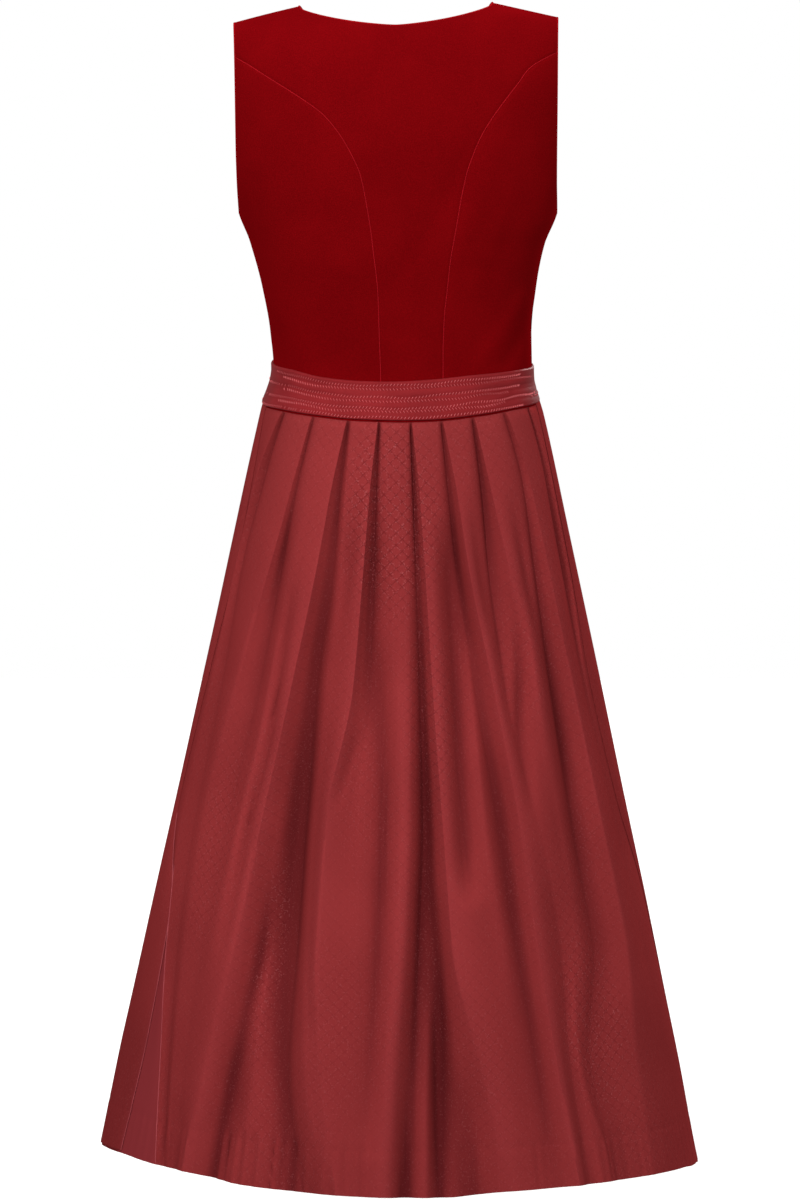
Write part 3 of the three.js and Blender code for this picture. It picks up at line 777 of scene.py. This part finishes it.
# Lesser folds over those: a line down the cloth, its half width, and its height at each level.
lesserFolds = [  # heights, bearings, half width and rises
    ([-640, -700, -830, -960, -1060], [-40.5, -41, -43.8, -47.2, -49], 10, [0, 3, 3, 1, 0]),
    ([-590, -658, -750, -840, -930, -1000], [-38, -38.8, -39.1, -41.8, -43, -44], 7, [0, -5, -6.5, -6, -3, 0]),
    ([-850, -930, -985, -1050, -1120, -1212], [-36, -35.6, -35.8, -37, -38.6, -39.4],
     12, [0, -8, -11, -7.5, -11.5, -11]),
    ([-740, -865, -967, -1070, -1150, -1212], [-31, -30.4, -30.4, -28, -25, -23],
     16, [0, -7, -9, -5.5, -4.5, -4.5]),
    ([-640, -700, -830, -960, -1090, -1180], [-7.6, -6.4, -4.6, -5.2, -6, -6.2], 13, [0, -6, -12, -10, -6, 0]),
    ([-1010, -1064, -1145, -1212], [6.4, 6.2, 5.4, 5], 8, [0, 4, 3.5, 2]),
    ([-1080, -1150, -1212], [0.8, 0.8, 0.7], 10, [0, -5.5, -10]),
    ([-900, -960, -1064, -1145, -1212], [9, 9.2, 8.6, 8.4, 8], 12, [0, -5, -10, -10.5, -9]),
    ([-1010, -1064, -1145, -1212], [12, 12.5, 13.5, 14], 30, [0, -5, -15.5, -17]),
    ([-1000, -1064, -1140, -1212], [-35.5, -35.2, -35.6, -36], 12, [0, -2, -7, -5]),
    ([-640, -700, -760, -830], [53, 54, 54.5, 55], 10, [0, -2, -3, 0]),
    ([-520, -590, -660, -760, -860, -921], [15.4, 16, 16.3, 16.3, 16.4, 16.6], 12, [0, -8, -9, -12, -12, 0]),
    ([-500, -575, -650], [25.5, 27.4, 28.8], 9, [0, -6, 0]),
    ([-500, -565, -640], [-16, -18.8, -20.5], 9, [0, -6, 0]),
    ([-500, -572, -650], [43.6, 46, 47], 9, [0, -5, 0]),
    ([-500, -575, -650], [-38, -40.5, -42.5], 8, [0, 1.5, 0]),
    ([-640, -700, -830, -960, -1040], [20.4, 20.9, 22.2, 24.9, 26], 9, [0, 2.5, 3.5, 2, 0]),
    ([-590, -658, -760, -830], [38.3, 39.4, 35.8, 36], 8, [0, -6.5, -4, 0]),
    ([-980, -1022, -1058, -1098, -1139, -1178, -1212], [43.5, 42.3, 41, 41.2, 42.6, 44.5, 44.6],
     5, [0, 1, 1, 1, 1.5, 2, 1.5]),
]
skirt = {
    "foot": -1212, "top": -431 - seamGap, "wall": 1.6, "gap": 0.4, "apronWall": 1.4, "apronTop": -427 - seamGap,
    "apronFoot": -1209, "cell": 5.0, "swell": 0.35, "hemLine": 45, "stitchDip": 0.35, "pucker": 2.0,
    "pressRadius": 0.55, "thinEdge": 0.35,
    # where the weave shows most: a bearing and height, how far that reaches, and how strongly
    "patterned": [
        ((-4, -520), (20, 110), 1.0), ((47, -1040), (11, 110), 0.75), ((-52, -880), (9, 120), 0.45),
        ((8, -720), (8, 120), 0.6), ((-33, -1000), (4, 120), 0.6), ((165, -560), (25, 120), 0.8),
        ((-130, -1000), (25, 140), 0.7),
    ],
    "hem": {"bearing": [125, 90, 85, 79, 71, 56, 38, 22, 9, -20, -33, -45, -62, -77, -84, -90, -125],
            "rise": [0, -14, -10.5, -8, -3, 1.5, 3, 2, -4, -4, -3, 2, 2, -3, -7, -11, 0]},
    # shares of the width over which each fold's depth is judged for the painted shade and highlight, and how deep
    # paints them fully
    "folding": [(0.045, 4), (0.11, 8), (0.22, 12)],
    "levels": [-431, -500, -580, -700, -830, -1212],
    "floor": [1.6, 1.8, 2.2, 2.4, 2.4, 2.2],  # how flat the bottom of a pleat is
    "sharpness": [9, 4.5, 3, 2.2, 2, 1.8],  # how steeply a panel leaves its valley
    "softness": [0.1, 0.2, 0.4, 0.55, 0.6, 0.7],  # how far folds have rounded out
    "creases": [
        ((-49, -750), (-67, -815), 5, -2.0), ((87, -441), (115, -464), 3, 1.2),
    ],
}


def foldLines(levels, folds):
    return [{"name": name, "z": levels, "bearing": bearing, "rise": rise} for name, bearing, rise in folds]


def foldColumns(lines):
    # columns of cloth, each a share of the way between two neighbouring folds, closest in valleys
    columns = []
    for i in range(len(lines) - 1):
        a, b = lines[i], lines[i + 1]
        z = np.linspace(-431, -1212, 12)
        gap = through(b["z"], b["bearing"], z) - through(a["z"], a["bearing"], z)
        widest = np.max(radians(1) * gap * formAt("width", z))
        sameNumber = a["name"].split()[-1] == b["name"].split()[-1] and "side" not in a["name"]
        fold = {a["name"].split()[0], b["name"].split()[0]} == {"ridge", "valley"}
        drop = fold and sameNumber
        cells = max(5, int(np.ceil(widest / (skirt["cell"] * (0.75 if drop else 1)))))
        share = np.arange(1 if i else 0, cells + 1) / cells
        valleyFirst = a["name"].startswith("valley")
        valleyLast = b["name"].startswith("valley")
        shoulder = "shoulder" in (a["name"].split()[0], b["name"].split()[0])
        kind = "drop" if drop else "slope" if shoulder else "panel" if valleyFirst or valleyLast else "plain"
        if kind == "panel":
            share = share ** 1.5 if valleyFirst else 1 - (1 - share) ** 1.5
        columns += [(i, s, kind, valleyFirst) for s in share]
    return columns


def foldPlaces(lines, columns, z):
    # bearing and rise of every place: rows follow z, columns the list
    z = z[:, None]
    bearings = np.concatenate([through(line["z"], line["bearing"], z) for line in lines], 1)
    rises = np.concatenate([through(line["z"], line["rise"], z) for line in lines], 1)
    i = np.array([column[0] for column in columns])
    share = np.array([column[1] for column in columns])[None]
    kind = np.array([column[2] for column in columns])[None]
    valleyFirst = np.array([column[3] for column in columns])[None]
    soft = through(skirt["levels"], skirt["softness"], z)
    sharp = through(skirt["levels"], skirt["sharpness"], z)
    ease = (1 - np.cos(np.pi * share)) / 2
    steep = np.where(valleyFirst, 1 - (1 - share) ** sharp, share ** sharp)
    floor = through(skirt["levels"], skirt["floor"], z)
    drop = mix(np.where(valleyFirst, share ** floor, 1 - (1 - share) ** floor), ease, soft * 0.5)
    bend = np.where(kind == "panel", mix(steep, ease, soft), np.where(kind == "drop", drop, ease))
    bend = np.where(kind == "slope", mix(share, ease, 0.35), bend)
    rise = mix(rises[:, i], rises[:, i + 1], bend)
    return mix(bearings[:, i], bearings[:, i + 1], share), rise * smooth(-429, -436, z)


def lesser(bearing, z):
    total = np.zeros(bearing.shape)
    for levels, bearings, half, rises in lesserFolds:
        off = radians(1) * (bearing - through(levels, bearings, z)) * formAt("width", z) / half
        inside = (z <= levels[0]) & (z >= levels[-1])
        total = total + np.exp(-off ** 2) * np.where(inside, through(levels, rises, z), 0)
    return total


def ringPlaces(bearing, z):
    angle = np.radians(bearing)
    back = np.cos(angle) >= 0
    width, power = formAt("width", z), formAt("power", z)
    depth = np.where(back, formAt("back", z), formAt("front", z))
    x = width * np.sin(angle)
    y = np.where(back, -1, 1) * depth * (1 - np.abs(np.sin(angle)) ** power) ** (1 / power)
    facing = np.stack([
        np.sign(x) * np.abs(x / width) ** (power - 1) / width,
        np.sign(y) * np.abs(y / depth) ** (power - 1) / depth,
        np.zeros_like(x),
    ], -1)
    return np.stack([x, y, z], -1), unit(facing), back


def standing(rise, arc, half):
    # how far each place stands out from the cloth round it
    out = np.empty_like(rise)
    for k, (line, at) in enumerate(zip(rise, arc)):
        total = np.concatenate([[0], np.cumsum((line[1:] + line[:-1]) / 2 * np.diff(at))])
        low, high = np.maximum(at - half[k], 0), np.minimum(at + half[k], at[-1])
        out[k] = line - (np.interp(high, at, total) - np.interp(low, at, total)) / (high - low)
    return out


def skirtRows(foot, top):
    return np.concatenate([
        [foot], heights(-1206, -1152, 3.4)[:-1], heights(-1152, -520, 7.0)[:-1], heights(-520, -435, 3.0), [top]])


def skirtCloth(name, parts, foot, top, wall, lift, materials):
    # a pleated cloth over one or more runs of fold columns, in order of bearing
    rows = skirtRows(foot, top)
    places = [foldPlaces(lines, columns, rows) for lines, columns in parts]
    bearing, rise = (np.concatenate(both, 1) for both in zip(*places))
    z = np.broadcast_to(rows[:, None], bearing.shape)
    bearing = (bearing + 180) % 360 - 180
    points, facing, back = ringPlaces(bearing, z + ridden(bearing, z))
    x, y = points[..., 0].copy(), points[..., 1].copy()
    onward = np.stack([-facing[..., 1], facing[..., 0], facing[..., 2]], -1)
    points[:, 0] += onward[:, 0] * seamGap / 2
    points[:, -1] -= onward[:, -1] * seamGap / 2
    rise = rise + lesser(bearing, z) + creased(skirt["creases"], x, z) * back
    rise = rise + waves(x + 1.4 * y, z * 0.5, 11, 130) * skirt["swell"] * smooth(-436, -470, z)
    up, angle = z - skirt["foot"], np.radians(bearing)
    turned = np.exp(-((up - skirt["hemLine"]) / 2.2) ** 2)  # the hem's stitch line pulls the cloth in
    ripple = np.sin(angle * 118 + 1.5 * np.sin(angle * 40)) * np.sin(angle * 47 + 1)
    puckered = mix(0.25, 1, np.exp(-((bearing + 30) / 15) ** 2)) * smooth(58, 40, up)
    rise = rise - skirt["stitchDip"] * turned + ripple * skirt["pucker"] * puckered
    # the hem hangs a little unevenly, and rides up where a fold stands out
    hang = through(skirt["hem"]["bearing"], skirt["hem"]["rise"], bearing) + 0.18 * rise
    points[..., 2] += hang * smooth(-1100, -1212, z)
    step = np.linalg.norm(np.diff(points, axis=1), axis=-1)
    arc = np.concatenate([np.zeros((len(z), 1)), np.cumsum(step, 1)], 1)
    # each panel keeps its cloth's own grid, and what lies between two panels is folded away
    valleys = [share == 1 and lines[k + 1]["name"].startswith("valley")
               for lines, columns in parts for k, share, kind, first in columns]
    bounds = [0] + [k for k, valley in enumerate(valleys) if valley] + [len(valleys) - 1]
    u = np.zeros_like(arc)
    for low, high in zip(bounds[:-1], bounds[1:]):
        first = low + 1 if low else 0
        middle = (arc[:, low] + arc[:, high]) / 2
        u[:, first:high + 1] = arc[:, first:high + 1] - middle[:, None] + middle[0]
    uv = np.stack([u, z * 1.035], -1)
    leftEdge, ridge = (through(line["z"], line["bearing"], z) for line in backLines[1:3])
    plain = smooth(-900, -960, z) * smooth(-1.5, 0.5, bearing - leftEdge) * smooth(0.5, -1, bearing - ridge)
    patterned = 0.12 + 0.15 * waves(x, z * 0.6, 31, 110)
    for (middle, height), (half, tall), strength in skirt["patterned"]:
        off = np.hypot((bearing - middle) / half, (z - height) / tall)
        patterned = np.maximum(patterned, strength * smooth(1.25, 0.5, off) * (0.85 + 0.15 * waves(x, z, 33, 60)))
    # painted shade in the folds and painted highlight on their crests, from how far each place lies below or stands
    # above the cloth round it
    out = [standing(rise, arc, half * formAt("width", z)) / full for half, full in skirt["folding"]]
    # painted shade deepening towards the hem, and a painted shadow low on the skirt beyond the apron's left edge,
    # both added to the fold shade
    outer = smooth(-980, -1100, z) * smooth(0.5, -0.5, bearing - leftEdge) * smooth(-120, -95, bearing)
    paintedShade = sum(smooth(0, 1, -o) for o in out) / len(out) + 0.16 * smooth(-650, -1212, z) + 0.2 * outer
    paintedHighlight = sum(smooth(0, 1, o) for o in out) / len(out)
    marks = {"plain": plain, "patterned": patterned, "paintedShade": np.minimum(paintedShade, 1), "paintedHighlight": paintedHighlight}
    thin = mix(skirt["thinEdge"], 1, smooth(0, 14, np.minimum(arc, arc[:, -1:] - arc))) if lift else np.ones_like(arc)
    piece = shell(name + "_cloth", points, facing, wall * thin, rise + lift * thin, materials, uv, marks)
    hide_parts(name)
    print(name, "triangles", len(piece.data.polygons) * 2)
    return piece


backLines, frontLines = foldLines(backLevels, backFolds), foldLines(frontLevels, frontFolds)
backColumns, frontColumns = foldColumns(backLines), foldColumns(frontLines)


def columnAt(name):
    return next(k for k, c in enumerate(backColumns) if backLines[c[0] + 1]["name"] == name and c[1] == 1)


wholeBack, wholeFront = (backLines, backColumns), (frontLines, frontColumns)
skirtBack, skirtFront = (
    skirtCloth(name, [whole], skirt["foot"], skirt["top"], skirt["wall"], 0, [satin, satinBack])
    for name, whole in (("skirt_back", wholeBack), ("skirt_front", wholeFront)))
apronParts = [
    (backLines, backColumns[columnAt("apron edge right"):]),
    (frontLines, frontColumns[1:]),
    (backLines, backColumns[1:columnAt("apron edge left") + 1]),
]
apron = skirtCloth("apron_panel", apronParts, skirt["apronFoot"], skirt["apronTop"], skirt["apronWall"],
                   skirt["gap"] + skirt["apronWall"], [satin, satinBack])


def pressedLine(name, cloth, column, low, high):
    # a sharp pressed edge along one column of a cloth's outer face, as a cord in a lighter satin: a painted highlight
    # along the crease
    count = len(cloth.data.vertices) // 2
    rows = len(skirtRows(skirt["foot"], skirt["top"]))
    places = np.empty(count * 6)
    cloth.data.vertices.foreach_get("co", places)
    line = places.reshape(-1, 3)[:count].reshape(rows, -1, 3)[:, column] / mm
    line = line[(line[:, 2] > low) & (line[:, 2] < high)]
    return tube(name, line, skirt["pressRadius"], satinEdgeHighlight, sides=6)


presses = [
    pressedLine("skirt_press_left", skirtBack, columnAt("ridge 1"), -1206, -900),
    pressedLine("apron_edge_left", apron, -1, -1206, -850),
]
print("skirt and apron made")

backEdges = [trims["neck_edge"], trims["arm_edge_left"], trims["arm_edge_right"]]
backEdges += [piece for name, piece in trims.items() if name.startswith(("back_princess", "side_", "shoulder_"))]

room = {
    "floor": -1.385, "floorSize": 7, "aim": (0.0021, 0, -0.6305), "distance": 14, "elevation": 10.5, "lens": 400,
    "ambient": 0.26, "backdrop": 1.0, "floorGlow": 0.2,
}
lamps = {
    "key": {"at": (-1.9, -4.1, 2.3), "size": 1.2, "power": 184},
    "fill": {"at": (4.4, -4.8, 1.6), "size": 3, "power": 165},
    "near side": {"at": (-5.0, -2.0, 1.2), "size": 3, "power": 52},
    "overhead": {"at": (0, 0.5, 4.5), "size": 4, "power": 130},
    "far side": {"at": (3.5, 6.0, 2.0), "size": 3, "power": 300},
}
bpy.ops.mesh.primitive_plane_add(size=room["floorSize"], location=(0, 0, room["floor"]))
floor = bpy.context.object
floor.name = "floor"
floor.data.materials.append(plainFinish("pale floor", "#f6f5f4", 0.9, 3, "#f3f2f1", room["floorGlow"]))
floor.visible_diffuse = floor.visible_glossy = False  # so that the pale floor doesn't fill the folds with light


def lookAt(item, target):
    item.rotation_euler = (Vector(target) - item.location).to_track_quat("-Z", "Y").to_euler()


for name, lamp in lamps.items():
    light = bpy.data.lights.new(name, "AREA")
    light.shape, light.size, light.energy = "DISK", lamp["size"], lamp["power"]
    stand = bpy.data.objects.new(name, light)
    bpy.context.scene.collection.objects.link(stand)
    stand.location = lamp["at"]
    lookAt(stand, room["aim"])

world = bpy.data.worlds.new("studio")
bpy.context.scene.world = world
world.use_nodes = True
light, view = (world.node_tree.nodes.new("ShaderNodeBackground") for _ in range(2))
light.inputs["Strength"].default_value, view.inputs["Strength"].default_value = room["ambient"], room["backdrop"]
light.inputs["Color"].default_value = view.inputs["Color"].default_value = (1, 1, 1, 1)
seen, either = world.node_tree.nodes.new("ShaderNodeLightPath"), world.node_tree.nodes.new("ShaderNodeMixShader")
for start, end in ((seen.outputs["Is Camera Ray"], 0), (light.outputs[0], 1), (view.outputs[0], 2)):
    world.node_tree.links.new(start, either.inputs[end])
world.node_tree.links.new(either.outputs[0], world.node_tree.nodes["World Output"].inputs["Surface"])

camera = bpy.data.objects.new("camera", bpy.data.cameras.new("camera"))
bpy.context.scene.collection.objects.link(camera)
tilt = radians(room["elevation"])
camera.location = Vector(room["aim"]) + Vector((0, -np.cos(tilt), np.sin(tilt))) * room["distance"]
lookAt(camera, room["aim"])
camera.data.lens, camera.data.sensor_width, camera.data.clip_end = room["lens"], 36, 100
bpy.context.scene.camera = camera
bpy.context.scene.view_settings.view_transform = "Standard"
print("stage set")
